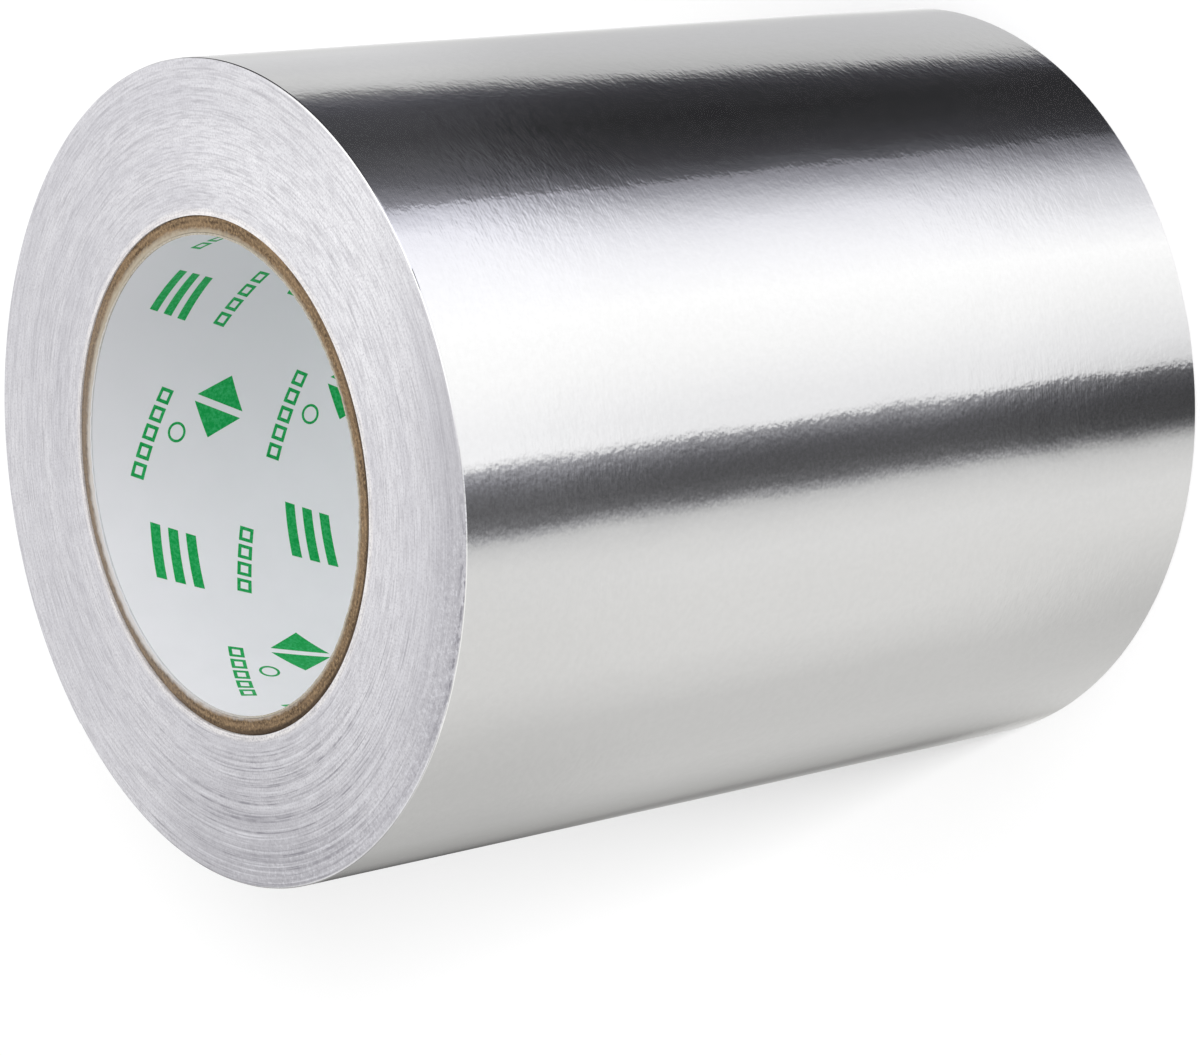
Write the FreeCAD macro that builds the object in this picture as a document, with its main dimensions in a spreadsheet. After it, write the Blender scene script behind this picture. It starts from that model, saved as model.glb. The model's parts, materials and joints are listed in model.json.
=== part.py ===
import FreeCAD, Part
import math
import os

import Sketcher
from FreeCAD import Placement, Rotation, Vector

# Roll of aluminium foil tape on a printed cardboard core, standing on its end.
# Millimetres and degrees. +Z is the roll's axis, and the origin is the centre of the lower end face.
#
#   wound_tape      every turn of the tape as one solid, ending in the cut free end
#   cardboard_core  the kraft board tube that the tape is wound on
#   printed_liner   the thin white paper ply that lines the tube

SIZES = {
    "roll_diameter": (131.4, "outside of the wound tape, half way round its last turn"),
    "tape_width": (152.4, "width of the tape, which is the height of the roll"),
    "turn_thickness": (0.18, "foil, adhesive and release paper together"),
    "free_end_angle": (125.0, "where the tape's cut end lies, from +X towards +Y"),
    "core_bore": (76.2, "clear bore of the finished core, which takes a 3 inch spindle"),
    "liner_thickness": (0.35, "white paper ply that faces the bore"),
    "core_wall": (2.65, "kraft board of the tube"),
    "core_recess": (0.2, "how far each cut end of the tube lies inside the tape's end face"),
    "core_bevel": (0.35, "knocked-off outer corners of the tube's cut ends"),
    "glue_gap": (0.05, "radial room for the glue between one piece and the next"),
}

SHEET = "sizes"

# Radii and heights that follow from the sizes above, as expressions for the sketches.
LINER_INNER = "sizes.core_bore / 2"
LINER_OUTER = f"{LINER_INNER} + sizes.liner_thickness"
CORE_INNER = f"{LINER_OUTER} + sizes.glue_gap"
CORE_OUTER = f"{CORE_INNER} + sizes.core_wall"
TAPE_INNER = f"{CORE_OUTER} + sizes.glue_gap"
CORE_FOOT = "sizes.core_recess"
CORE_HEAD = "sizes.tape_width - sizes.core_recess"

# The outline of the last turn: four quarter arcs. Their centres are the corners of a small square,
# given here in half sides, and each arc is larger than the one before by the side of that square.
ARC_CENTRES = [(-1, 1), (-1, -1), (1, -1), (1, 1)]
ARC_GROWTH = f"sizes.turn_thickness / {len(ARC_CENTRES)}"
HALF_SIDE = f"{ARC_GROWTH} / 2"
FIRST_ARC_RADIUS = "sizes.roll_diameter / 2 - sizes.turn_thickness / 2"

START, END, CENTRE = 1, 2, 3  # the points of a sketch line or arc
ORIGIN_POINT = (-1, 1)  # the sketch's own origin, as a pair of geometry and point
UP = Vector(0, 0, 1)
FULL_TURN = 360.0


def add_sheet(doc):
    """The driving dimensions, one row each: name, value, what it is."""
    sheet = doc.addObject("Spreadsheet::Sheet", SHEET)
    for row, (name, (value, meaning)) in enumerate(SIZES.items(), start=1):
        sheet.set(f"A{row}", name)
        sheet.set(f"B{row}", str(value))
        sheet.setAlias(f"B{row}", name)
        sheet.set(f"C{row}", meaning)
    doc.recompute()


def add_sketch(body, name, role):
    """A sketch on one of the body's own origin planes."""
    plane = next(f for f in body.Origin.OriginFeatures if f.Role == role)
    sketch = body.newObject("Sketcher::SketchObject", name)
    sketch.AttachmentSupport = [(plane, "")]
    sketch.MapMode = "FlatFace"
    return sketch


def value_of(sketch, expression):
    """An expression's value with the sheet as it stands."""
    return float(sketch.evalExpression(expression))


def bind(sketch, kind, points, expression):
    """Adds a dimension to the sketch and ties it to the sheet."""
    index = sketch.addConstraint(Sketcher.Constraint(kind, *points, value_of(sketch, expression)))
    sketch.setExpression(f"Constraints[{index}]", expression)


def place(sketch, geometry, point, x_expression, y_expression):
    """Ties a point's place, measured from the sketch's origin, to the sheet."""
    bind(sketch, "DistanceX", (*ORIGIN_POINT, geometry, point), x_expression)
    bind(sketch, "DistanceY", (*ORIGIN_POINT, geometry, point), y_expression)


def spiral_outline(sketch):
    """The outside of the last turn, which runs from the sketch's +X axis once round to it again.

    The arcs meet on lines through both their centres, so they run into each other smoothly, and
    after one turn the outline has grown by exactly one thickness of tape. A radial line closes it:
    the cut end of the tape.
    """
    half_side, growth, radius = (value_of(sketch, e) for e in (HALF_SIDE, ARC_GROWTH, FIRST_ARC_RADIUS))
    quarter = math.radians(FULL_TURN / len(ARC_CENTRES))
    arcs = []
    for k, (x, y) in enumerate(ARC_CENTRES):
        circle = Part.Circle(Vector(x * half_side, y * half_side, 0), UP, radius + k * growth)
        arcs.append(sketch.addGeometry(Part.ArcOfCircle(circle, k * quarter, (k + 1) * quarter)))
    foot_of_cut = Vector(radius - half_side, half_side, 0)
    thickness = Vector(growth * len(ARC_CENTRES), 0, 0)
    cut = sketch.addGeometry(Part.LineSegment(foot_of_cut, foot_of_cut + thickness))
    for before, after in zip(arcs, arcs[1:]):
        sketch.addConstraint(Sketcher.Constraint("Tangent", before, END, after, START))
    for arc, point, cut_point in ((arcs[0], START, START), (arcs[-1], END, END)):
        sketch.addConstraint(Sketcher.Constraint("Coincident", cut, cut_point, arc, point))
        sketch.addConstraint(Sketcher.Constraint("Horizontal", arc, CENTRE, arc, point))
    for arc, (x, y) in zip(arcs, ARC_CENTRES):
        place(sketch, arc, CENTRE, f"{x} * {HALF_SIDE}", f"{y} * {HALF_SIDE}")
    bind(sketch, "Radius", (arcs[0],), FIRST_ARC_RADIUS)


def round_hole(sketch, radius_expression):
    """A circle about the sketch's origin."""
    hole = sketch.addGeometry(Part.Circle(Vector(0, 0, 0), UP, value_of(sketch, radius_expression)))
    sketch.addConstraint(Sketcher.Constraint("Coincident", hole, CENTRE, *ORIGIN_POINT))
    bind(sketch, "Radius", (hole,), radius_expression)


def closed_profile(sketch, corners):
    """A closed outline of straight lines. Each corner is a pair of expressions: radius and height."""
    points = [Vector(*(value_of(sketch, e) for e in corner), 0) for corner in corners]
    lines = [sketch.addGeometry(Part.LineSegment(a, b)) for a, b in zip(points, points[1:] + points[:1])]
    for before, after in zip(lines, lines[1:] + lines[:1]):
        sketch.addConstraint(Sketcher.Constraint("Coincident", before, END, after, START))
    for line, corner in zip(lines, corners):
        place(sketch, line, START, *corner)


def turned_body(doc, name, corners):
    """A piece of revolution about +Z, from its profile in the XZ plane."""
    body = doc.addObject("PartDesign::Body", name)
    profile = add_sketch(body, f"{name}_profile", "XZ_Plane")
    closed_profile(profile, corners)
    turned = body.newObject("PartDesign::Revolution", f"{name}_turned")
    turned.Profile = profile
    turned.ReferenceAxis = (profile, ["V_Axis"])
    turned.Angle = FULL_TURN
    profile.Visibility = False
    return body


def wound_tape(doc):
    """All the turns of the tape as one solid: a spiral outline round the core's hole."""
    body = doc.addObject("PartDesign::Body", "wound_tape")
    outline = add_sketch(body, "turns_outline", "XY_Plane")
    free_end = value_of(outline, "sizes.free_end_angle")
    outline.AttachmentOffset = Placement(Vector(0, 0, 0), Rotation(UP, free_end))
    outline.setExpression("AttachmentOffset.Rotation.Angle", "sizes.free_end_angle")
    spiral_outline(outline)
    round_hole(outline, TAPE_INNER)
    turns = body.newObject("PartDesign::Pad", "turns")
    turns.Profile = outline
    turns.setExpression("Length", "sizes.tape_width")
    outline.Visibility = False
    return body


def cardboard_core(doc):
    """The kraft board tube, cut a little shorter than the tape, with the outer corners of its ends knocked off."""
    bevel = "sizes.core_bevel"
    return turned_body(doc, "cardboard_core", [
        (CORE_INNER, CORE_FOOT),
        (f"{CORE_OUTER} - {bevel}", CORE_FOOT),
        (CORE_OUTER, f"{CORE_FOOT} + {bevel}"),
        (CORE_OUTER, f"{CORE_HEAD} - {bevel}"),
        (f"{CORE_OUTER} - {bevel}", CORE_HEAD),
        (CORE_INNER, CORE_HEAD),
    ])


def printed_liner(doc):
    """The white paper ply inside the tube, cut through with it."""
    return turned_body(doc, "printed_liner", [
        (LINER_INNER, CORE_FOOT),
        (LINER_OUTER, CORE_FOOT),
        (LINER_OUTER, CORE_HEAD),
        (LINER_INNER, CORE_HEAD),
    ])


def check(doc, bodies):
    """Stops if any object failed to recompute or a piece isn't one valid solid."""
    for item in doc.Objects:
        if {"Invalid", "Error"} & set(item.State):
            raise RuntimeError(f"{item.Name} failed: {item.State}")
    for body in bodies:
        shape = body.Shape
        if shape.isNull() or not shape.isValid() or len(shape.Solids) != 1:
            raise RuntimeError(f"{body.Label} is not one valid solid")


def main():
    doc = FreeCAD.newDocument("foil_tape_roll")
    add_sheet(doc)
    bodies = [wound_tape(doc), cardboard_core(doc), printed_liner(doc)]
    doc.recompute()
    check(doc, bodies)
    os.makedirs("parts", exist_ok=True)
    for body in bodies:
        body.Shape.exportStep(f"parts/{body.Label}.step")
        box = body.Shape.BoundBox
        print(f"{body.Label}: {box.XLength:.2f} x {box.YLength:.2f} x {box.ZLength:.2f} mm,",
              f"{body.Shape.Volume / 1000:.1f} cm3")


main()
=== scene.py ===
"""A roll of aluminium foil tape on its printed cardboard core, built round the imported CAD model.

Metres, in the model's own frame: +Z is the roll's axis, and the roll stands on its lower end at Z 0.
An azimuth is an angle round that axis, from +X towards +Y.
"""

import json
import math

import bmesh
import bpy
import numpy as np
from mathutils import Matrix, Vector


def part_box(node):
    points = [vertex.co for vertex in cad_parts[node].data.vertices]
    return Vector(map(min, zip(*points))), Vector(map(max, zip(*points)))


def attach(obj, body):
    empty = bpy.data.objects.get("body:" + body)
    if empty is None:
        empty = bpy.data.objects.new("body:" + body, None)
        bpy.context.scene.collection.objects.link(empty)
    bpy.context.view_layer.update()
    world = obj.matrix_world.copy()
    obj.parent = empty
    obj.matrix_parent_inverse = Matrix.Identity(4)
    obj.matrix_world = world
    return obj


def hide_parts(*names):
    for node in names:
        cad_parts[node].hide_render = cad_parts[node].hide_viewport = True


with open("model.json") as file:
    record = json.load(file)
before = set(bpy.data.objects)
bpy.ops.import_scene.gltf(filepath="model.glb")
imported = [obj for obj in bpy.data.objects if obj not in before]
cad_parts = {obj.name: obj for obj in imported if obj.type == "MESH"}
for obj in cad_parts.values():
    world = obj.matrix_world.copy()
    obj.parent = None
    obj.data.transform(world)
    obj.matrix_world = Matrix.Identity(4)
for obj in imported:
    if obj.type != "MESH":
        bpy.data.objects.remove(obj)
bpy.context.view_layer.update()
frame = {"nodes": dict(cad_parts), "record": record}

MM = 0.001
TURN = 2 * math.pi

# ---------------------------------------------------------------- sizes, from the frame

TAPE_LOW, TAPE_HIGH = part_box("wound_tape")
CORE_LOW, CORE_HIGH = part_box("cardboard_core")
LINER_LOW, LINER_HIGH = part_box("printed_liner")
MOUNTS = {mount["name"]: mount for mount in frame["record"]["mounts"]}

TAPE_THICKNESS = 0.18 * MM
FREE_END = math.radians(125)  # azimuth of the tape's cut end
GLUE_GAP = 0.05 * MM
CORE_BEVEL = 0.35 * MM

ROLL_RADIUS = max(v.co.xy.length for v in frame["nodes"]["wound_tape"].data.vertices) - TAPE_THICKNESS / 2
CORE_RADIUS = (CORE_HIGH.x - CORE_LOW.x) / 2
LINER_RADIUS = (LINER_HIGH.x - LINER_LOW.x) / 2
BORE_RADIUS = MOUNTS["core_bore"]["dims"]["r_mm"] * MM
HOLE_RADIUS = CORE_RADIUS + GLUE_GAP
BOARD_BORE_RADIUS = LINER_RADIUS + GLUE_GAP


# ---------------------------------------------------------------- helpers for materials


def to_linear(level):
    """Linear light from an 8-bit sRGB level."""
    share = level / 255
    return share / 12.92 if share <= 0.04045 else ((share + 0.055) / 1.055) ** 2.4


def colour(red, green, blue):
    """A linear colour from an 8-bit sRGB one."""
    return (to_linear(red), to_linear(green), to_linear(blue), 1.0)


class Material:
    """A material with a Principled shader, and short ways to add nodes to it.

    A value that a method takes is a number, a vector, a colour or another node's output.
    """

    def __init__(self, name):
        self.material = bpy.data.materials.new(name)
        self.material.use_nodes = True
        self.tree = self.material.node_tree
        self.shader = self.tree.nodes["Principled BSDF"]
        self.place = self.add("ShaderNodeTexCoord").outputs["Object"]

    def add(self, kind, inputs=None, **settings):
        node = self.tree.nodes.new(kind)
        for key, value in settings.items():
            setattr(node, key, value)
        for key, value in (inputs or {}).items():
            self.put(node.inputs[key], value)
        return node

    def put(self, socket, value):
        if isinstance(value, bpy.types.NodeSocket):
            self.tree.links.new(value, socket)
        else:
            socket.default_value = value

    def set(self, **inputs):
        """Shader inputs by name, with _ for a space."""
        for key, value in inputs.items():
            self.put(self.shader.inputs[key.replace("_", " ")], value)

    def math(self, operation, a, b):
        return self.add("ShaderNodeMath", {0: a, 1: b}, operation=operation).outputs[0]

    def times(self, a, b):
        return self.math("MULTIPLY", a, b)

    def larger(self, a, b):
        return self.math("MAXIMUM", a, b)

    def vector_math(self, operation, result, *vectors):
        """A vector operation's result, which is its "Value" or its "Vector"."""
        node = self.add("ShaderNodeVectorMath", dict(enumerate(vectors)), operation=operation)
        return node.outputs[result]

    def flat_place(self):
        """The object's X and Y, and the vector of the two."""
        x, y, _ = self.add("ShaderNodeSeparateXYZ", {0: self.place}).outputs
        return x, y, self.add("ShaderNodeCombineXYZ", {"X": x, "Y": y}).outputs[0]

    def stretched(self, scale):
        """The object's coordinates, each axis multiplied by its own scale, in cycles for each metre."""
        return self.add("ShaderNodeMapping", {"Vector": self.place, "Scale": scale}).outputs[0]

    def ring_place(self, across, along):
        """Coordinates for rings about +Z: `across` cycles for each metre of radius, `along` round them."""
        x, y, flat = self.flat_place()
        radius = self.vector_math("LENGTH", "Value", flat)
        parts = {
            "X": self.times(radius, across),
            "Y": self.times(self.math("DIVIDE", x, radius), along),
            "Z": self.times(self.math("DIVIDE", y, radius), along),
        }
        return self.add("ShaderNodeCombineXYZ", parts).outputs[0]

    def radius(self):
        """Distance from the axis, in metres."""
        _, _, flat = self.flat_place()
        return self.vector_math("LENGTH", "Value", flat)

    def towards(self, azimuth):
        """1 on the side of the roll that faces the azimuth, 0 on the far side, and a smooth change between.

        The azimuth is in degrees.
        """
        way = (math.cos(math.radians(azimuth)), math.sin(math.radians(azimuth)), 0)
        _, _, flat = self.flat_place()
        unit = self.vector_math("NORMALIZE", "Vector", flat)
        return self.remap(self.vector_math("DOT_PRODUCT", "Value", unit, way), -1, 1)

    def noise(self, place, scale=1.0, detail=2.0, roughness=0.5):
        """Noise about 0.5. The scale is in cycles for each metre, or 1 where the place is scaled already."""
        inputs = {"Vector": place, "Scale": scale, "Detail": detail, "Roughness": roughness}
        return self.add("ShaderNodeTexNoise", inputs).outputs["Fac"]

    def remap(self, value, low, high, to_low=0.0, to_high=1.0):
        """to_low where the value is low or beyond, to_high where it is high or beyond, a ramp between."""
        inputs = {"Value": value, "From Min": low, "From Max": high, "To Min": to_low, "To Max": to_high}
        return self.add("ShaderNodeMapRange", inputs).outputs["Result"]

    def mix(self, factor, a, b):
        """Colour a where the factor is 0, and colour b where it is 1."""
        node = self.add("ShaderNodeMix", data_type="RGBA")
        colours = [s for s in node.inputs if s.type == "RGBA"]
        self.put(node.inputs["Factor"], factor)
        self.put(colours[0], a)
        self.put(colours[1], b)
        return next(s for s in node.outputs if s.type == "RGBA")

    def layered(self, *layers):
        """The sum of layers of height, each a pattern between 0 and 1 and its size in metres."""
        heights = [self.times(pattern, size) for pattern, size in layers]
        total = heights[0]
        for height in heights[1:]:
            total = self.math("ADD", total, height)
        return total

    def bump(self, height):
        """Bump from a height in metres."""
        node = self.add("ShaderNodeBump", {"Height": height, "Strength": 1.0, "Distance": 1.0})
        self.put(self.shader.inputs["Normal"], node.outputs["Normal"])


# ---------------------------------------------------------------- the foil


def foil_material():
    """Bright aluminium foil: fine pits, soft pebbling, short strokes round the roll, slow waves and dust."""
    foil = Material("aluminium_foil")
    pits = foil.noise(foil.place, 2000, detail=1.0)
    pebble = foil.noise(foil.place, 900, detail=1.0)
    strokes = foil.noise(foil.stretched((450, 450, 2600)))
    waves = foil.noise(foil.stretched((130, 130, 170)))
    patches = foil.noise(foil.stretched((40, 40, 60)))
    specks = foil.remap(foil.noise(foil.place, 1700, roughness=0.6), 0.36, 0.64)

    # the relief is gentler along one line of the roll and livelier along another
    calm = foil.remap(foil.towards(-106), 0.9975, 0.9999, 1.0, 0.5)
    lively = foil.remap(foil.towards(-38), 0.995, 0.9995, 1.0, 1.5)
    relief = foil.layered((pits, 3.5e-6), (pebble, 12e-6), (strokes, 7e-6), (waves, 24e-6))
    foil.bump(foil.times(relief, foil.times(calm, lively)))

    # specks dull the foil a little everywhere, and turn it grey along one narrow line of the roll
    dusty = foil.remap(foil.towards(-99), 0.87, 0.985, 0.01, 0.03)
    grey_line = foil.remap(foil.towards(-98.5), 0.9975, 0.9992, 0.0, 0.85)
    clean = foil.mix(foil.remap(pebble, 0.35, 0.65), colour(245, 245, 245), colour(247, 247, 247))
    foil.set(
        Metallic=foil.math("SUBTRACT", 1.0, foil.times(specks, dusty)),
        Roughness=foil.remap(patches, 0.3, 0.7, 0.06, 0.085),
        Base_Color=foil.mix(foil.times(specks, grey_line), clean, colour(205, 205, 205)),
    )
    return foil.material


# ---------------------------------------------------------------- the end of the roll

# the grey of the end's painted shade and of its wear
SHADE_AND_WEAR_GREY = colour(160, 159, 165)
FLECK_GREY = colour(166, 164, 170)


def turn_tones(edge, radius, outer):
    """The end's broad tones: whiter and greyer turns, painted light on one side, painted shade on two sides,
    wear on the outer turns, a pale first turn.
    """
    bands = edge.noise(edge.ring_place(260, 1.2))
    white = edge.mix(edge.remap(bands, 0.35, 0.65), colour(206, 205, 210), colour(217, 216, 220))
    # painted light: the end is whiter towards azimuth -45, the side the key light falls from
    painted_light = edge.mix(edge.remap(edge.towards(-45), 0.86, 0.97, 0.0, 0.42), white, colour(242, 242, 244))

    # painted shade: greyer towards azimuth 178, more so on the outer turns, and a little greyer towards
    # azimuth 40
    depth_of_shade = edge.remap(radius, HOLE_RADIUS, ROLL_RADIUS, 0.26, 0.42)
    foot_shade = edge.times(edge.remap(edge.towards(178), 0.92, 1.0), depth_of_shade)
    shade = edge.larger(foot_shade, edge.remap(edge.towards(40), 0.8, 0.96, 0.0, 0.1))
    shaded = edge.mix(shade, painted_light, SHADE_AND_WEAR_GREY)

    handled = edge.remap(edge.towards(-135), 0.6, 0.85, 0.0, 0.55)
    handled = edge.times(handled, edge.remap(edge.towards(-152), 0.965, 0.995, 1.0, 0.45))
    rubbed = edge.remap(edge.towards(-25), 0.95, 0.99, 0.0, 0.22)
    worn = edge.mix(edge.times(outer, edge.larger(handled, rubbed)), shaded, SHADE_AND_WEAR_GREY)

    first_turn = edge.remap(radius, HOLE_RADIUS + 0.5 * MM, HOLE_RADIUS + 1.2 * MM, 0.75, 0.0)
    return edge.mix(first_turn, worn, colour(240, 236, 233))


def line_strength(edge, radius, outer):
    """How strongly lines and grain show: most on one side of the end, and less beside the hole. The lines and
    grain are the end's own; their strength by side is painted shade and light of the turns' relief.
    """
    # painted shade and light: the turns' relief shows most towards azimuth -170, where the light falls across
    # it
    relief_light_by_side = edge.remap(edge.towards(-170), 0.75, 0.99, 0.35, 1.0)
    by_radius = edge.remap(radius, HOLE_RADIUS, HOLE_RADIUS + 8 * MM, 0.75, 1.0)
    plainer = edge.times(outer, edge.remap(edge.towards(-132), 0.93, 0.98, 0.0, 0.45))
    return edge.times(edge.times(relief_light_by_side, by_radius), edge.math("SUBTRACT", 1.0, plainer))


def add_flecks(edge, tone, grain, strength, outer):
    """Grey flecks everywhere, and dark and pale specks on one side's outer turns."""
    flecks = edge.times(edge.remap(grain, 0.46, 0.76), edge.remap(strength, 0.35, 1.0, 0.65, 1.0))
    tone = edge.mix(flecks, tone, FLECK_GREY)
    speckle = edge.noise(edge.place, 1900, roughness=0.65)
    speckled = edge.times(outer, edge.remap(edge.towards(-145), 0.75, 0.93))
    dark = edge.times(edge.remap(speckle, 0.54, 0.68, 0.0, 0.45), speckled)
    pale = edge.times(edge.remap(speckle, 0.46, 0.34, 0.0, 0.45), speckled)
    tone = edge.mix(dark, tone, colour(136, 134, 143))
    return edge.mix(pale, tone, colour(222, 222, 228))


def add_streaks(edge, tone, lines, strength):
    """Dark and pale streaks along the turns: faint arcs, and fine lines that are dark here and pale there."""
    arcs = edge.noise(edge.ring_place(2100, 4.0))
    breaks = edge.noise(edge.ring_place(600, 15.0))
    here = edge.times(strength, edge.remap(breaks, 0.42, 0.6, 0.35, 1.0))
    there = edge.times(strength, edge.remap(breaks, 0.58, 0.4, 0.35, 1.0))
    streaks = ((arcs, 0.12, strength, strength), (lines, 0.85, here, there))
    for pattern, weight, dark_share, pale_share in streaks:
        dark = edge.times(edge.remap(pattern, 0.53, 0.66, 0.0, weight), dark_share)
        pale = edge.times(edge.remap(pattern, 0.46, 0.34, 0.0, 0.7 * weight), pale_share)
        tone = edge.mix(dark, tone, colour(130, 128, 136))
        tone = edge.mix(pale, tone, colour(224, 224, 229))
    return tone


def add_rim_marks(edge, tone, radius):
    """Dirt on one side's outermost turns, and a lip that is white where it catches the light."""
    near_rim = edge.remap(radius, ROLL_RADIUS - 2.2 * MM, ROLL_RADIUS - 1.0 * MM)
    soiled = edge.times(near_rim, edge.remap(edge.towards(-114), 0.965, 0.995))
    smudges = edge.noise(edge.ring_place(1100, 40.0), detail=3.0, roughness=0.65)
    smudge = edge.times(soiled, edge.remap(smudges, 0.49, 0.6, 0.0, 0.7))
    tone = edge.mix(smudge, tone, colour(112, 110, 120))

    lip = edge.remap(radius, ROLL_RADIUS - 0.55 * MM, ROLL_RADIUS - 0.4 * MM)
    lit = edge.larger(
        edge.remap(edge.towards(-60), 0.92, 0.97),
        edge.remap(edge.towards(-150), 0.9, 0.97, 0.0, 0.35),
    )
    return edge.mix(edge.times(lip, lit), tone, colour(254, 254, 254))


def turn_edge_material():
    """The end of the roll: edges of white release paper and foil, turn upon turn."""
    edge = Material("turn_edges")
    radius = edge.radius()
    outer = edge.remap(radius, ROLL_RADIUS - 13 * MM, ROLL_RADIUS - 3 * MM)
    strength = line_strength(edge, radius, outer)
    dashes = edge.noise(edge.ring_place(3000, 14.0))
    lines = edge.noise(edge.ring_place(3300, 1.5), roughness=0.6)
    grain = edge.noise(edge.place, 2600, roughness=0.6)

    tone = turn_tones(edge, radius, outer)
    tone = edge.mix(edge.remap(dashes, 0.42, 0.8, 0.0, 0.7), tone, FLECK_GREY)
    tone = add_flecks(edge, tone, grain, strength, outer)
    tone = add_streaks(edge, tone, lines, strength)
    tone = add_rim_marks(edge, tone, radius)
    edge.set(Base_Color=tone, Roughness=0.6, Metallic=0.0)
    edge.bump(edge.layered((dashes, 14e-6), (lines, 12e-6), (grain, 28e-6)))
    return edge.material


# ---------------------------------------------------------------- the core's materials


def board_material():
    """Brown kraft board, cut across: plies round the tube, fibres, a paler torn edge beside the bore."""
    board = Material("kraft_board")
    radius = board.radius()
    plies = board.noise(board.ring_place(1700, 6.0))
    fibres = board.noise(board.place, 1900, detail=3.0, roughness=0.7)
    shreds = board.noise(board.ring_place(900, 22.0), detail=3.0, roughness=0.65)
    brown = board.mix(board.remap(plies, 0.35, 0.65), colour(80, 62, 43), colour(128, 105, 79))
    mottled = board.mix(board.remap(fibres, 0.44, 0.7), brown, colour(158, 132, 98))
    faded = board.mix(board.remap(board.towards(95), 0.7, 0.95, 0.0, 0.5), mottled, colour(128, 120, 112))

    # the torn edge reaches furthest out about azimuths 60 and 105
    reach = board.larger(
        board.remap(board.towards(60), 0.25, 0.95, 0.2 * MM, 1.0 * MM),
        board.remap(board.towards(105), 0.85, 0.98, 0.2 * MM, 1.25 * MM),
    )
    ragged = board.math("ADD", radius, board.times(shreds, 1.2 * MM))
    from_bore = board.math("SUBTRACT", ragged, BOARD_BORE_RADIUS + 0.6 * MM)
    torn = board.remap(board.math("SUBTRACT", from_bore, reach), -0.6 * MM, 0.3 * MM, 0.85, 0.0)
    white_side = board.remap(board.towards(135), 0.5, 0.95)
    paper = board.mix(white_side, colour(176, 166, 148), colour(210, 208, 207))
    paler = board.mix(torn, faded, paper)

    rim = board.remap(radius, CORE_RADIUS - 1.0 * MM, CORE_RADIUS - 0.6 * MM)
    shaded = board.times(rim, board.remap(board.towards(-130), 0.5, 0.85, 0.0, 0.75))
    board.set(Base_Color=board.mix(shaded, paler, colour(50, 38, 28)), Roughness=0.9)
    board.bump(board.times(fibres, 70e-6))
    return board.material


def liner_material():
    """Smooth white paper, with painted shade that makes it a little greyer on one side of the bore."""
    paper = Material("white_paper")
    cloudy = paper.noise(paper.place, 160, detail=3.0)
    tooth = paper.noise(paper.place, 3000)
    pale = paper.mix(cloudy, colour(239, 238, 242), colour(245, 244, 248))
    # painted shade: the paper is greyer on the side towards azimuth -35
    unshaded_side = paper.remap(paper.towards(145), 0.4, 0.85)
    paper.set(Base_Color=paper.mix(unshaded_side, colour(226, 225, 229), pale), Roughness=0.5)
    paper.bump(paper.times(tooth, 6e-6))
    return paper.material


def liner_edge_material():
    """The paper's cut edge: cream on one side, white on the other, with loose fibres."""
    edge = Material("paper_cut_edge")
    fibres = edge.noise(edge.place, 2400, detail=3.0, roughness=0.7)
    cream = edge.mix(edge.remap(fibres, 0.35, 0.65), colour(156, 147, 130), colour(186, 179, 166))
    white_side = edge.remap(edge.towards(108), 0.6, 0.95)
    edge.set(Base_Color=edge.mix(white_side, cream, colour(205, 206, 209)), Roughness=0.9)
    edge.bump(edge.times(fibres, 60e-6))
    return edge.material


def ink_material():
    """Green printing ink, a little uneven where the paper shows through."""
    ink = Material("green_ink")
    cover = ink.noise(ink.place, 1800, detail=3.0, roughness=0.6)
    ink.set(
        Base_Color=ink.mix(ink.remap(cover, 0.4, 0.75), colour(0, 158, 73), colour(60, 184, 112)),
        Roughness=0.5,
        Specular_IOR_Level=0.2,
    )
    return ink.material


# ---------------------------------------------------------------- helpers for pieces

SHARP_ANGLE = math.radians(35)


def add_piece(name, vertices, faces, materials, replaced=None, face_materials=None):
    """A piece that rides on the roll, from its vertices and faces."""
    mesh = bpy.data.meshes.new(name)
    mesh.from_pydata(vertices, [], faces)
    for material in materials:
        mesh.materials.append(material)
    if face_materials is not None:
        mesh.polygons.foreach_set("material_index", face_materials)
    work = bmesh.new()
    work.from_mesh(mesh)
    bmesh.ops.recalc_face_normals(work, faces=work.faces)
    work.to_mesh(mesh)
    work.free()
    mesh.shade_smooth()
    mesh.set_sharp_from_angle(angle=SHARP_ANGLE)
    piece = bpy.data.objects.new(name, mesh)
    bpy.context.scene.collection.objects.link(piece)
    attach(piece, "root")
    if replaced:
        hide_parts(replaced)
    return piece


def smooth_steps(random, rings, angles, harmonics, spread, kinship):
    """Heights for each ring and angle: slow waves round the ring, each ring like the last by `kinship`."""
    orders = np.arange(harmonics + 1)
    size = spread / (1 + orders)
    waves = np.zeros((rings, len(angles)))
    state = random.normal(size=(harmonics + 1, 2))
    for ring in range(rings):
        state = kinship * state + math.sqrt(1 - kinship**2) * random.normal(size=state.shape)
        parts = size[:, None] * (
            state[:, :1] * np.cos(orders[:, None] * angles) + state[:, 1:] * np.sin(orders[:, None] * angles)
        )
        waves[ring] = parts.sum(axis=0)
    return waves


def bell(angles, centre, width):
    """1 at the centre angle, falling smoothly to 0 a few widths away, all round the circle."""
    away = np.angle(np.exp(1j * (angles - centre)))
    return np.exp(-((away / width) ** 2))


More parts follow.
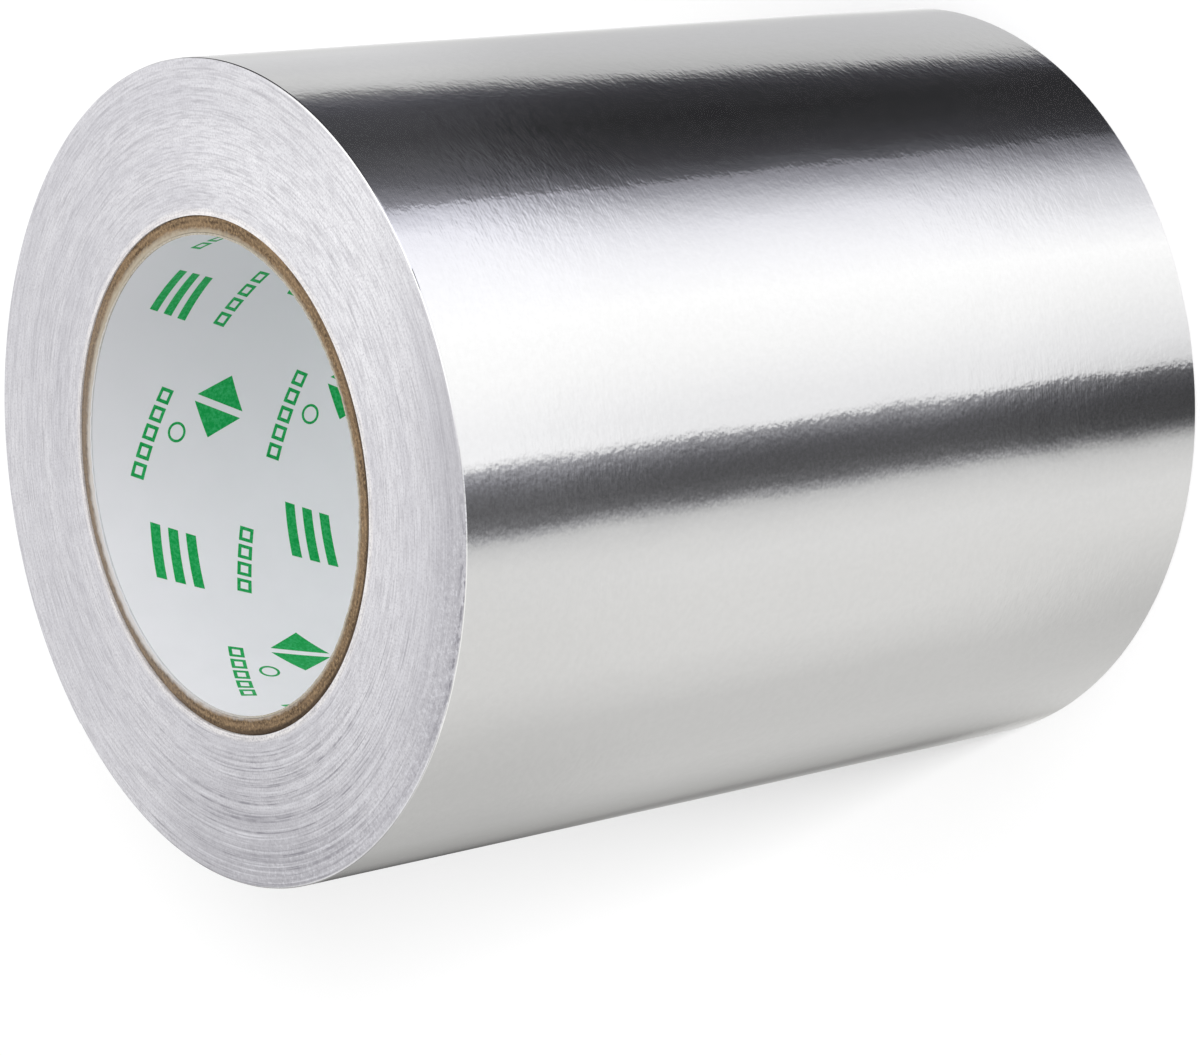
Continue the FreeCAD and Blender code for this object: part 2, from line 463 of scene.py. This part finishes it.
def ring_mesh(radii, heights, angles, closed=True):
    """Vertices and faces round the axis. radii and heights have a row for each profile point.

    A closed profile runs on from its last point to its first, so the ring is a solid.
    """
    rows, columns = radii.shape
    vertices = np.stack([radii * np.cos(angles), radii * np.sin(angles), heights], axis=-1).reshape(-1, 3)
    faces = []
    for row in range(rows if closed else rows - 1):
        low = row * columns
        high = (row + 1) % rows * columns
        for column in range(columns):
            right = (column + 1) % columns
            faces.append((low + column, low + right, high + right, high + column))
    return vertices.tolist(), faces


# ---------------------------------------------------------------- the wound tape

TAPE_SEED = 11
ROLL_COLUMNS = 320
RING_STEP = 2 * TAPE_THICKNESS  # the end has one ring of faces for every two turns
WALL_STEP = 1.5 * MM
RIM = 0.15 * MM  # how far the edges of the outermost turn are rounded
RIM_DROP = 0.02 * MM  # how far the start of that rounding lies inside the end's plane
OUTSIDE_INSET = 0.005 * MM  # keeps the outside within the CAD model's box
FOIL, EDGE = 0, 1  # places in the piece's list of materials

# Turns that stand back near the rim: the ring, counted from the rim, its depth, azimuth and half width.
SLACK_RINGS = [
    (-4, 0.22 * MM, math.radians(-128), 0.3),
    (-6, 0.14 * MM, math.radians(-150), 0.25),
]
STRAY_STRETCHES = 150
FOIL_WAVES = 30
FOIL_WAVE_SIZE = 1.1e-6  # of a wave that goes round in FOIL_WAVE_ORDER crests
FOIL_WAVE_ORDER = 36


def end_relief(random, rings, angles):
    """How deep each ring of turns lies below the end's plane, zero or more."""
    depth = smooth_steps(random, rings, angles, harmonics=30, spread=0.010 * MM, kinship=0.2)
    depth += smooth_steps(random, rings, angles, harmonics=3, spread=0.004 * MM, kinship=0.0)
    for _ in range(STRAY_STRETCHES):
        ring = random.integers(1, rings - 1)
        size = random.uniform(0.02, 0.09) * MM
        middle = random.uniform(0, TURN)
        width = random.uniform(0.04, 0.35)
        depth[ring] += size * bell(angles, middle, width)
    for ring, size, azimuth, width in SLACK_RINGS:
        depth[ring] += size * bell(angles, azimuth, width)
    depth -= depth.min()
    # the first and the last ring lie in the end's plane, and the rings beside them at half their depth
    from_edge = np.minimum(np.arange(rings), np.arange(rings)[::-1])
    return depth * np.clip(from_edge / 2, 0, 1)[:, None]


def foil_waves(random, heights, angles):
    """Slight waves in the outermost turn, in metres, zero or less, with a row for each height."""
    waves = np.zeros((len(heights), len(angles)))
    for _ in range(FOIL_WAVES):
        order = random.integers(14, 60)
        length = random.uniform(14, 60) * MM
        phase, tilt = random.uniform(0, TURN, 2)
        lean = np.sign(tilt - math.pi)
        size = FOIL_WAVE_SIZE * (FOIL_WAVE_ORDER / order)
        waves += size * np.cos(order * angles[None, :] + phase + TURN * heights[:, None] / length * lean)
    return waves - waves.max()


def tape_profile(angles):
    """The radius and height of each row of points at each angle, and which rows follow the tape's spiral.

    The rows run from the hole out over the upper end, round the rim, down the outside, round the lower rim
    and back over the lower end. The last row runs on to the first through the hole.
    """
    random = np.random.default_rng(TAPE_SEED)
    ones = np.ones(len(angles))
    rings = round((ROLL_RADIUS - HOLE_RADIUS) / RING_STEP)
    wall_rows = round((TAPE_HIGH.z - TAPE_LOW.z) / WALL_STEP)
    wall_heights = np.linspace(TAPE_HIGH.z - RIM, TAPE_LOW.z + RIM, wall_rows)
    upper = TAPE_HIGH.z - end_relief(random, rings, angles)
    lower = TAPE_LOW.z + end_relief(random, rings, angles)

    growth = TAPE_THICKNESS * np.linspace(0, 1, len(angles))
    spiral = ROLL_RADIUS - TAPE_THICKNESS / 2 + growth - OUTSIDE_INSET
    end_radii = [radius * ones for radius in np.linspace(HOLE_RADIUS, ROLL_RADIUS - 2 * RIM, rings)]
    wall_radii = [spiral + wave for wave in foil_waves(random, wall_heights, angles)]
    radii = [*end_radii, spiral - RIM, *wall_radii, spiral - RIM, *end_radii[::-1]]
    levels = [
        *upper,
        (TAPE_HIGH.z - RIM_DROP) * ones,
        *(height * ones for height in wall_heights),
        (TAPE_LOW.z + RIM_DROP) * ones,
        *lower[::-1],
    ]
    follows = [False] * rings + [True] * (wall_rows + 2) + [False] * rings
    return np.array(radii), np.array(levels), follows


def wound_tape():
    """All the turns as one closed solid, which ends in the step of the cut free end.

    Each row of points starts at the cut. A row that follows the spiral has one point more than the others,
    because it ends a tape's thickness further out than it starts.
    """
    angles = FREE_END + np.linspace(0, TURN, ROLL_COLUMNS + 1)
    radii, levels, follows = tape_profile(angles)
    places = np.stack([radii * np.cos(angles), radii * np.sin(angles), levels], axis=-1)
    index = np.full(radii.shape, -1)
    vertices = []
    for row, spirals in enumerate(follows):
        count = ROLL_COLUMNS + 1 if spirals else ROLL_COLUMNS
        index[row, :count] = len(vertices) + np.arange(count)
        vertices.extend(places[row, :count].tolist())
        if not spirals:
            index[row, -1] = index[row, 0]
    index = index.tolist()

    faces, kinds = [], []
    for row, spirals in enumerate(follows):
        after = (row + 1) % len(follows)
        here, there = index[row], index[after]
        outside = spirals and follows[after]
        for column in range(ROLL_COLUMNS):
            faces.append([here[column], here[column + 1], there[column + 1], there[column]])
            kinds.append(FOIL if outside else EDGE)
        if outside:
            faces.append([here[0], here[-1], there[-1], there[0]])  # the cut end of the tape
            kinds.append(EDGE)
        elif spirals or follows[after]:
            faces[-1].insert(2, here[0] if spirals else there[0])  # the last face meets the cut end's corner
    materials = [foil_material(), turn_edge_material()]
    return add_piece("foil_turns", vertices, faces, materials, "wound_tape", kinds)


# ---------------------------------------------------------------- the core

CORE_SEED = 23
CORE_COLUMNS = 288
CORE_RINGS = 12
LINER_SEED = 31
LINER_COLUMNS = 360
LINER_FRINGE = 0.3 * MM  # the ragged edge of the paper lies within this of its full width
PAPER, CUT_EDGE = 0, 1  # places in the liner's list of materials


def cardboard_core():
    """The kraft tube, with plies that stand up and lie down a little at its cut ends."""
    random = np.random.default_rng(CORE_SEED)
    angles = np.arange(CORE_COLUMNS) * TURN / CORE_COLUMNS
    ones = np.ones(CORE_COLUMNS)
    bevel = CORE_BEVEL * (1 - 0.75 * bell(angles, math.radians(50), 1.2))  # one side's corners are sharper
    width = CORE_RADIUS - bevel - BOARD_BORE_RADIUS
    ring_radii = [BOARD_BORE_RADIUS + share * width for share in np.linspace(0, 1, CORE_RINGS)]

    def end_depth():
        depth = smooth_steps(random, CORE_RINGS, angles, harmonics=12, spread=0.02 * MM, kinship=0.3)
        depth += random.uniform(0, 0.05 * MM, size=depth.shape)
        return depth - depth.min()

    upper = CORE_HIGH.z - end_depth()
    lower = CORE_LOW.z + end_depth()
    radii = [*ring_radii, CORE_RADIUS * ones, CORE_RADIUS * ones, *ring_radii[::-1]]
    levels = [*upper, CORE_HIGH.z - bevel, CORE_LOW.z + bevel, *lower]
    vertices, faces = ring_mesh(np.array(radii), np.array(levels), angles)
    return add_piece("core_board", vertices, faces, [board_material()], "cardboard_core")


def core_liner():
    """The white paper ply, with a slightly ragged cut edge at each end."""
    random = np.random.default_rng(LINER_SEED)
    angles = np.arange(LINER_COLUMNS) * TURN / LINER_COLUMNS
    ones = np.ones(LINER_COLUMNS)

    def ragged():
        steps = random.uniform(0, LINER_FRINGE, LINER_COLUMNS) * 0.5
        return np.abs(steps + smooth_steps(random, 1, angles, harmonics=20, spread=0.03 * MM, kinship=0.0)[0])

    top = LINER_HIGH.z - ragged()
    foot = LINER_LOW.z + ragged()
    inner = [top, (LINER_HIGH.z - LINER_FRINGE) * ones, (LINER_LOW.z + LINER_FRINGE) * ones, foot]
    radii = [BORE_RADIUS * ones] * len(inner) + [LINER_RADIUS * ones] * len(inner)
    levels = inner + inner[::-1]
    vertices, faces = ring_mesh(np.array(radii), np.array(levels), angles)
    row_kinds = [CUT_EDGE, PAPER, CUT_EDGE, CUT_EDGE] * 2  # down the bore's face, and up the other
    kinds = np.repeat(row_kinds, LINER_COLUMNS)
    materials = [liner_material(), liner_edge_material()]
    return add_piece("core_liner", vertices, faces, materials, "printed_liner", kinds)


# ---------------------------------------------------------------- the print on the liner

INK = 0.025 * MM
PRINT_STEP = 0.8 * MM  # no patch of ink goes further round the bore without a bend
PRINT_COLUMNS = 10
PRINT_PITCH = 27 * MM
PRINT_LEAN = math.radians(24)
PRINT_START = 2 * MM  # how far the first row lies beyond the liner's upper end
PRINT_MARGIN = 7.5 * MM  # each shape's centre stays this far from the liner's ends
FRAMES_ASIDE = 3 * MM  # how far round the bore the rows of frames lie from their column
SLIVER = 0.004 * MM  # a patch is cut off this far inside its corners, and no strip of it is narrower


class Print:
    """Patches of ink on the bore. A point is (along, up): metres round the circumference and up the axis."""

    def __init__(self):
        self.vertices = []
        self.faces = []

    def on_bore(self, point, depth):
        along, up = point
        angle = along / BORE_RADIUS
        radius = BORE_RADIUS - depth
        return (radius * math.cos(angle), radius * math.sin(angle), up)

    def strip(self, pairs, closed=False):
        """A thin solid between two lines, given as pairs of points. A closed strip is a ring."""
        start = len(self.vertices)
        for low, high in pairs:
            for point, depth in ((low, 0), (high, 0), (high, INK), (low, INK)):
                self.vertices.append(self.on_bore(point, depth))
        count = len(pairs)
        for k in range(count if closed else count - 1):
            a, b = start + 4 * k, start + 4 * ((k + 1) % count)
            for corner in range(4):
                after = (corner + 1) % 4
                self.faces.append((a + corner, a + after, b + after, b + corner))
        if not closed:
            for end in (start, start + 4 * (count - 1)):
                self.faces.append(tuple(end + corner for corner in range(4)))

    def polygon(self, corners):
        """A convex outline, cut into upright strips so that it follows the bore."""
        low_end, high_end = min(c[0] for c in corners), max(c[0] for c in corners)
        stations = {c[0] for c in corners}
        stations |= set(np.linspace(low_end, high_end, 2 + int((high_end - low_end) / PRINT_STEP)))
        stations = sorted(min(max(s, low_end + SLIVER), high_end - SLIVER) for s in stations)
        pairs = []
        for along in stations:
            if pairs and along - pairs[-1][0][0] < SLIVER:
                continue
            crossings = []
            for (x0, y0), (x1, y1) in zip(corners, corners[1:] + corners[:1]):
                if min(x0, x1) <= along <= max(x0, x1) and x0 != x1:
                    crossings.append(y0 + (y1 - y0) * (along - x0) / (x1 - x0))
            pairs.append(((along, min(crossings)), (along, max(crossings))))
        self.strip(pairs)

    def ring(self, centre, inner, outer, sides=28):
        pairs = []
        for angle in np.arange(sides) * TURN / sides:
            way = (math.cos(angle), math.sin(angle))
            pairs.append(tuple((centre[0] + r * way[0], centre[1] + r * way[1]) for r in (inner, outer)))
        self.strip(pairs, closed=True)


def turned(points, centre, angle):
    """Points turned about the origin and moved to the centre."""
    c, s = math.cos(angle), math.sin(angle)
    return [(centre[0] + x * c - y * s, centre[1] + x * s + y * c) for x, y in points]


def rectangle(x0, y0, x1, y1):
    return [(x0, y0), (x1, y0), (x1, y1), (x0, y1)]


def print_diamond(ink, centre):
    """A diamond split upright, with a small ring beside it."""
    half, split = 5.6 * MM, 0.6 * MM
    left = [(-half, 0), (-split, -half + split), (-split, half - split)]
    right = [(half, 0), (split, half - split), (split, -half + split)]
    ink.polygon(turned(left, centre, PRINT_LEAN))
    ink.polygon(turned(right, centre, PRINT_LEAN))
    beside = turned([(6.6 * MM, 6.2 * MM)], centre, PRINT_LEAN)[0]
    ink.ring(beside, inner=1.3 * MM, outer=1.75 * MM)


def print_bars(ink, centre):
    """Three slanted bars side by side."""
    wide, half_tall, step, slant = 1.9 * MM, 4.75 * MM, 3.4 * MM, 1.1 * MM
    for k in (-1, 0, 1):
        foot, head = k * step - slant, k * step + slant
        corners = [(foot, -half_tall), (foot + wide, -half_tall), (head + wide, half_tall), (head, half_tall)]
        ink.polygon(turned(corners, centre, PRINT_LEAN - math.pi / 2))


def print_frames(ink, centre, count):
    """A row of small square frames, each of two uprights and two level bars."""
    side, line, step = 2.6 * MM, 0.6 * MM, 3.3 * MM
    for k in range(count):
        x = (k - (count - 1) / 2) * step
        for sign in (-1, 1):
            inner, outer = sign * (side / 2 - line), sign * side / 2
            upright = rectangle(x + inner, -side / 2, x + outer, side / 2)
            level = rectangle(x - side / 2 + line, inner, x + side / 2 - line, outer)
            ink.polygon(turned(upright, centre, PRINT_LEAN))
            ink.polygon(turned(level, centre, PRINT_LEAN))


def liner_print():
    """A plain repeat of green shapes: diamonds and bars in turn round the bore, and frames between them."""
    ink = Print()
    pitch_round = TURN * BORE_RADIUS / PRINT_COLUMNS
    rows = int((LINER_HIGH.z - LINER_LOW.z) / PRINT_PITCH) + 2
    lowest, highest = LINER_LOW.z + PRINT_MARGIN, LINER_HIGH.z - PRINT_MARGIN
    for column in range(PRINT_COLUMNS):
        odd = column % 2
        along = column * pitch_round
        print_shape, frames = (print_bars, 4) if odd else (print_diamond, 5)
        for row in range(rows):
            up = LINER_HIGH.z + PRINT_START - row * PRINT_PITCH - odd * PRINT_PITCH / 2
            below = up - PRINT_PITCH / 2
            if lowest < up < highest:
                print_shape(ink, (along, up))
            if lowest < below < highest:
                print_frames(ink, (along + FRAMES_ASIDE, below), frames)
    return add_piece("liner_print", ink.vertices, ink.faces, [ink_material()])


# ---------------------------------------------------------------- camera and floor

CAMERA_DISTANCE = 0.63457  # from the centre of the roll's upper end
CAMERA_RISE = math.radians(32.285)  # how high the camera stands over that end, seen from its centre
LOOK_DOWN = math.radians(37.552)
LOOK_ASIDE = math.radians(-1.889)  # from +Y towards +X
CAMERA_ROLL = math.radians(99.342)  # the camera lies on its side, so the roll does in the picture
CAMERA_LENS = 120.53

FLOOR_HALF = 14.0
FLOOR_COLOUR = (0.9, 0.9, 0.9, 1.0)
FLOOR_GLOW = 0.1


def add_camera():
    end_centre = Vector((0, 0, TAPE_HIGH.z))
    back = Vector((0, -math.cos(CAMERA_RISE), math.sin(CAMERA_RISE)))
    ahead = (math.sin(LOOK_ASIDE), math.cos(LOOK_ASIDE))
    forward = Vector((math.cos(LOOK_DOWN) * ahead[0], math.cos(LOOK_DOWN) * ahead[1], -math.sin(LOOK_DOWN)))
    level = forward.cross(Vector((0, 0, 1))).normalized()
    upright = level.cross(forward)
    up = math.cos(CAMERA_ROLL) * upright + math.sin(CAMERA_ROLL) * level
    right = forward.cross(up)
    axes = Matrix((right, up, -forward)).transposed()
    data = bpy.data.cameras.new("camera")
    data.lens = CAMERA_LENS
    data.clip_start = 0.05
    data.clip_end = 60
    camera = bpy.data.objects.new("camera", data)
    camera.matrix_world = Matrix.Translation(end_centre + back * CAMERA_DISTANCE) @ axes.to_4x4()
    bpy.context.scene.collection.objects.link(camera)
    bpy.context.scene.camera = camera


def floor_material():
    """A matt pale surface with a faint glow of its own."""
    material = bpy.data.materials.new("floor")
    material.use_nodes = True
    inputs = material.node_tree.nodes["Principled BSDF"].inputs
    inputs["Base Color"].default_value = FLOOR_COLOUR
    inputs["Roughness"].default_value = 0.9
    inputs["Specular IOR Level"].default_value = 0.0
    inputs["Emission Color"].default_value = FLOOR_COLOUR
    inputs["Emission Strength"].default_value = FLOOR_GLOW
    return material


def add_floor():
    """A plain pale floor. It isn't seen in reflections, so that only the light tent shows in the foil."""
    mesh = bpy.data.meshes.new("floor")
    corners = rectangle(-FLOOR_HALF, -FLOOR_HALF, FLOOR_HALF, FLOOR_HALF)
    mesh.from_pydata([(x, y, 0) for x, y in corners], [], [(0, 1, 2, 3)])
    mesh.materials.append(floor_material())
    floor = bpy.data.objects.new("floor", mesh)
    floor.location.z = TAPE_LOW.z
    floor.visible_glossy = False
    bpy.context.scene.collection.objects.link(floor)
    return floor


# ---------------------------------------------------------------- the light tent

# A glowing cylinder round the roll, seen only in reflections. It reaches below the floor, which isn't seen in
# them: the camera looks down, so the roll's foot mirrors the height TENT_FOOT, and its upper end TENT_HEAD.
TENT_RADIUS = 1.5
TENT_REACH = 5.0
TENT_FOOT, TENT_HEAD = -1.43, -0.92
TENT_MIDDLE = (-1.30, -1.03)  # the lowest and highest place of the middle greys
TENT_COLUMNS = 1080
TENT_LEVELS = 18  # between the foot and the head
TENT_START = -60  # azimuth of the first stop, in degrees. The last is a whole turn further.
TENT_STRENGTH = 1.12
WARM_RED = 0.02  # how much more red a warmth of 1 gives
WARM_BLUE = 0.06  # and how much less blue

# Each stop: its azimuth in degrees at the foot and at the head, its sRGB grey at the foot, in the middle and
# at the head, and its warmth, which is negative for a bluish light. These numbers were typed in by hand
# after levels that a script read on the photograph's foil, and then adjusted against renders. Most of them
# still lie close to those levels.
TENT = [
    # the bright panel fades into the first dark one
    (-60, -60, 250, 252, 253, 0), (-50, -50, 232, 244, 250, -0.5), (-44, -44, 212, 236, 247, -0.7),
    (-38, -38, 200, 223, 242, -1), (-32, -32, 168, 193, 235, -1.3), (-26, -26, 125, 147, 204, -1.8),
    (-21.5, -23, 94, 130, 188, -2), (-20.5, -22.5, 64, 86, 134, -2),
    # the first dark panel, and its soft edge to the grey one
    (-15, -15, 50, 57, 92, -2), (-7, -7, 44, 44, 76, -1.5), (2, 2, 42, 38, 62, -1.5),
    (10, 14, 50, 48, 67, -2), (13, 19, 76, 55, 74, -2.5), (16.5, 24, 100, 78, 102, -1.5),
    (18, 26.5, 142, 144, 136, 0), (20, 29.5, 174, 176, 185, 0), (23, 33, 184, 178, 194, 0),
    (28, 38, 190, 184, 199, 0),
    # the grey panel, brighter at the roll's upper outline
    (40, 44, 192, 188, 198, -0.2), (60, 60, 196, 192, 206, -0.2), (66, 66, 214, 198, 205, 0),
    (70, 70, 255, 207, 210, 0), (76, 76, 255, 232, 226, 0), (82, 82, 255, 230, 228, 0),
    # the dark line along the roll's lower outline
    (99, 94, 217, 188, 90, 0.3), (115, 106, 232, 150, 95, 0.3), (119, 110, 222, 137, 116, 0.4),
    (122, 114, 200, 136, 132, 0.4), (125, 119, 192, 155, 149, 0.4), (128, 125, 198, 166, 158, 0.4),
    # the wide grey panel
    (134, 134, 201, 177, 171, 0.3), (142, 142, 199, 187, 176, 0.3), (152, 152, 195, 192, 181, 0.3),
    (165, 165, 189, 191, 183, 0.3), (180, 180, 185, 192, 189, 0.3), (188, 188, 188, 200, 196, 0.3),
    (200, 200, 198, 209, 205, 0.3), (216, 216, 211, 211, 207, 0.3), (227, 227, 211, 213, 208, 0.2),
    (233.5, 233.5, 203, 208, 208, 0.2), (238, 238, 192, 199, 201, 0.1),
    # the second dark panel
    (241.5, 241.5, 151, 183, 190, 0), (243, 243, 110, 151, 165, -0.5), (245.5, 245.5, 69, 99, 110, -0.8),
    (250, 250, 63, 81, 94, -0.8), (254, 254, 64, 82, 104, -1.2), (257, 257, 72, 96, 126, -1.5),
    (260, 260, 84, 134, 158, -1.2), (262, 261.5, 112, 147, 180, -1),
    # the bright panel
    (262.5, 262, 184, 212, 214, -0.2), (264, 263.5, 205, 228, 240, -0.2), (270, 270, 221, 230, 239, -0.2),
    (285, 285, 237, 244, 248, 0), (300, 300, 250, 252, 253, 0),
]

# From this height up the tent has these greys instead. Each stop: its azimuth in degrees and its grey.
TENT_LID = 0.4
LID = [
    (-60, 245), (-25, 240), (-12, 60), (24, 40), (50, 45), (60, 90), (100, 150), (143, 150), (165, 200),
    (180, 235), (262, 235), (300, 245),
]


def tent_light(level, around):
    """The tent's light at one height, as red, green, blue and 1 for each azimuth in `around`."""
    stops = np.array(TENT, float)
    share = np.interp(level, [TENT_FOOT, TENT_HEAD], [0, 1])
    azimuths = (1 - share) * stops[:, 0] + share * stops[:, 1]
    place = np.interp(level, [TENT_FOOT, *TENT_MIDDLE, TENT_HEAD], [0, 1, 1, 2])
    greys = [np.interp(place, [0, 1, 2], stop[2:5]) for stop in stops]
    if level >= TENT_LID:
        greys = np.interp(azimuths, *np.array(LID, float).T)
    glow = np.interp(around, azimuths, [to_linear(grey) for grey in greys])
    warmth = np.interp(around, azimuths, stops[:, 5])
    red = glow * (1 + WARM_RED * np.maximum(warmth, 0))
    blue = glow * (1 - WARM_BLUE * warmth)
    return np.stack([red, glow, blue, np.ones(len(around))], axis=-1)


def tent_material(layer):
    """Light of the colour that the mesh has in a colour layer."""
    material = bpy.data.materials.new("light_tent")
    material.use_nodes = True
    tree = material.node_tree
    tree.nodes.clear()
    tint = tree.nodes.new("ShaderNodeVertexColor")
    emission = tree.nodes.new("ShaderNodeEmission")
    output = tree.nodes.new("ShaderNodeOutputMaterial")
    tint.layer_name = layer
    emission.inputs["Strength"].default_value = TENT_STRENGTH
    tree.links.new(tint.outputs["Color"], emission.inputs["Color"])
    tree.links.new(emission.outputs["Emission"], output.inputs["Surface"])
    return material


def add_tent():
    around = np.arange(TENT_COLUMNS) * 360 / TENT_COLUMNS + TENT_START
    levels = [-TENT_REACH, *np.linspace(TENT_FOOT, TENT_HEAD, TENT_LEVELS), 0.0, TENT_LID, TENT_REACH]
    heights = np.array(levels)[:, None] * np.ones(TENT_COLUMNS)
    radii = np.full(heights.shape, TENT_RADIUS)
    vertices, faces = ring_mesh(radii, heights, np.radians(around), closed=False)
    mesh = bpy.data.meshes.new("light_tent")
    mesh.from_pydata(vertices, [], faces)
    light = np.concatenate([tent_light(level, around) for level in levels])
    mesh.color_attributes.new("glow", "FLOAT_COLOR", "POINT").data.foreach_set("color", light.ravel())
    mesh.materials.append(tent_material("glow"))
    tent = bpy.data.objects.new("light_tent", mesh)
    for ray in ("camera", "diffuse", "transmission", "volume_scatter", "shadow"):
        setattr(tent, f"visible_{ray}", False)
    bpy.context.scene.collection.objects.link(tent)


# ---------------------------------------------------------------- lights

SKY_STRENGTH = 0.77
BORE_LIGHT_DEPTH = 70 * MM


def add_lamp(name, kind, power, place):
    """A lamp that shows neither to the camera nor in reflections."""
    data = bpy.data.lights.new(name, kind)
    data.energy = power
    lamp = bpy.data.objects.new(name, data)
    lamp.location = place
    lamp.visible_glossy = False
    lamp.visible_camera = False
    bpy.context.scene.collection.objects.link(lamp)
    return lamp


def add_soft_light(name, azimuth, elevation, distance, size, power):
    """A square soft light that faces the middle of the roll. The angles are in degrees."""
    a, e = math.radians(azimuth), math.radians(elevation)
    away = Vector((math.cos(a) * math.cos(e), math.sin(a) * math.cos(e), math.sin(e)))
    light = add_lamp(name, "AREA", power, Vector((0, 0, TAPE_HIGH.z / 2)) + away * distance)
    light.data.size = size
    light.rotation_mode = "QUATERNION"
    light.rotation_quaternion = away.to_track_quat("Z", "Y")
    return light


def link_light(light, objects, state):
    """Lets the light fall on the objects alone (INCLUDE), or on everything else (EXCLUDE)."""
    receivers = bpy.data.collections.new(light.name + "_receivers")
    for receiver in objects:
        receivers.objects.link(receiver)
    for link in receivers.collection_objects:
        link.light_linking.link_state = state
    light.light_linking.receiver_collection = receivers


def add_bore_light(objects):
    """A weak lamp on the axis, down in the bore, so that the paper stays as pale there as at its rim."""
    lamp = add_lamp("bore_light", "POINT", power=0.0125, place=(0, 0, TAPE_HIGH.z - BORE_LIGHT_DEPTH))
    lamp.data.shadow_soft_size = 15 * MM
    link_light(lamp, objects, "INCLUDE")


def add_light(floor):
    """An even pale sky, a soft key light on the roll, and two lights that lay its shadow on the floor."""
    world = bpy.data.worlds.new("pale_studio")
    world.use_nodes = True
    sky = world.node_tree.nodes["Background"]
    sky.inputs["Color"].default_value = (1.0, 1.0, 1.0, 1.0)
    sky.inputs["Strength"].default_value = SKY_STRENGTH
    bpy.context.scene.world = world
    bpy.context.scene.view_settings.view_transform = "Standard"
    key = add_soft_light("key", azimuth=-25, elevation=62, distance=0.42, size=0.35, power=0.75)
    low = add_soft_light("low_floor_light", azimuth=-80, elevation=35, distance=2.0, size=0.3, power=20)
    high = add_soft_light("high_floor_light", azimuth=-20, elevation=75, distance=2.0, size=2.0, power=6.5)
    link_light(key, [floor], "EXCLUDE")
    link_light(low, [floor], "INCLUDE")
    link_light(high, [floor], "INCLUDE")


add_camera()
floor = add_floor()
add_tent()
add_light(floor)
wound_tape()
cardboard_core()
liner = core_liner()
green_print = liner_print()
add_bore_light([liner, green_print])
